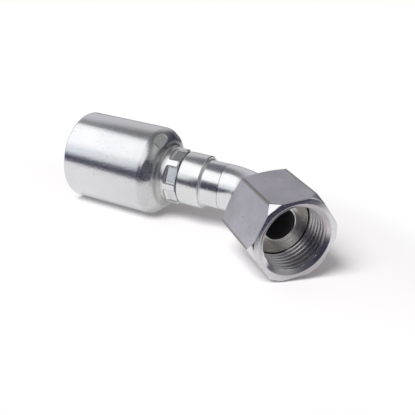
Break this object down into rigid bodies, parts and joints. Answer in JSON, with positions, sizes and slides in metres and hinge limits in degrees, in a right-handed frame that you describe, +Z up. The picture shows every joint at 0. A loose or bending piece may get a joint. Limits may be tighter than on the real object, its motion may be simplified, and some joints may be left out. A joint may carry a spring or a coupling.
{
  "type": "crimp hose fitting",
  "caption": "Hydraulic crimp hose fitting with a staked shell, a barbed stem, a bent tube and a swivel nut over a flat seal face.",
  "frame": {"origin": "on the ground under the middle of the fitting's box", "axes": "+X along the shell from its open end towards the elbow, +Z up, as the fitting lies at rest"},
  "size_m": [0.1152, 0.0588, 0.0366],
  "materials": {
    "plated_shell": "bright zinc plating on turned steel",
    "plated_tube": "bright zinc plating on drawn steel",
    "plated_nut": "satin zinc plating on hexagonal bar",
    "seal_face": "fine turned steel",
    "braze": "plated braze bead"
  },
  "bodies": {
    "fitting": {"crimp_shell": "plated_shell", "hose_stem": "plated_tube", "collar_braze": "braze", "bent_tube": "plated_tube", "seal_sleeve": "seal_face"},
    "nut": {"swivel_nut": "plated_nut"}
  },
  "joints": [
    {"name": "nut_spin", "type": "hinge", "parent": "fitting", "child": "nut", "pos_m": [0.03766, -0.0094, 0.01685], "axis": [0.7071, -0.7053, -0.0501], "continuous": true}
  ]
}
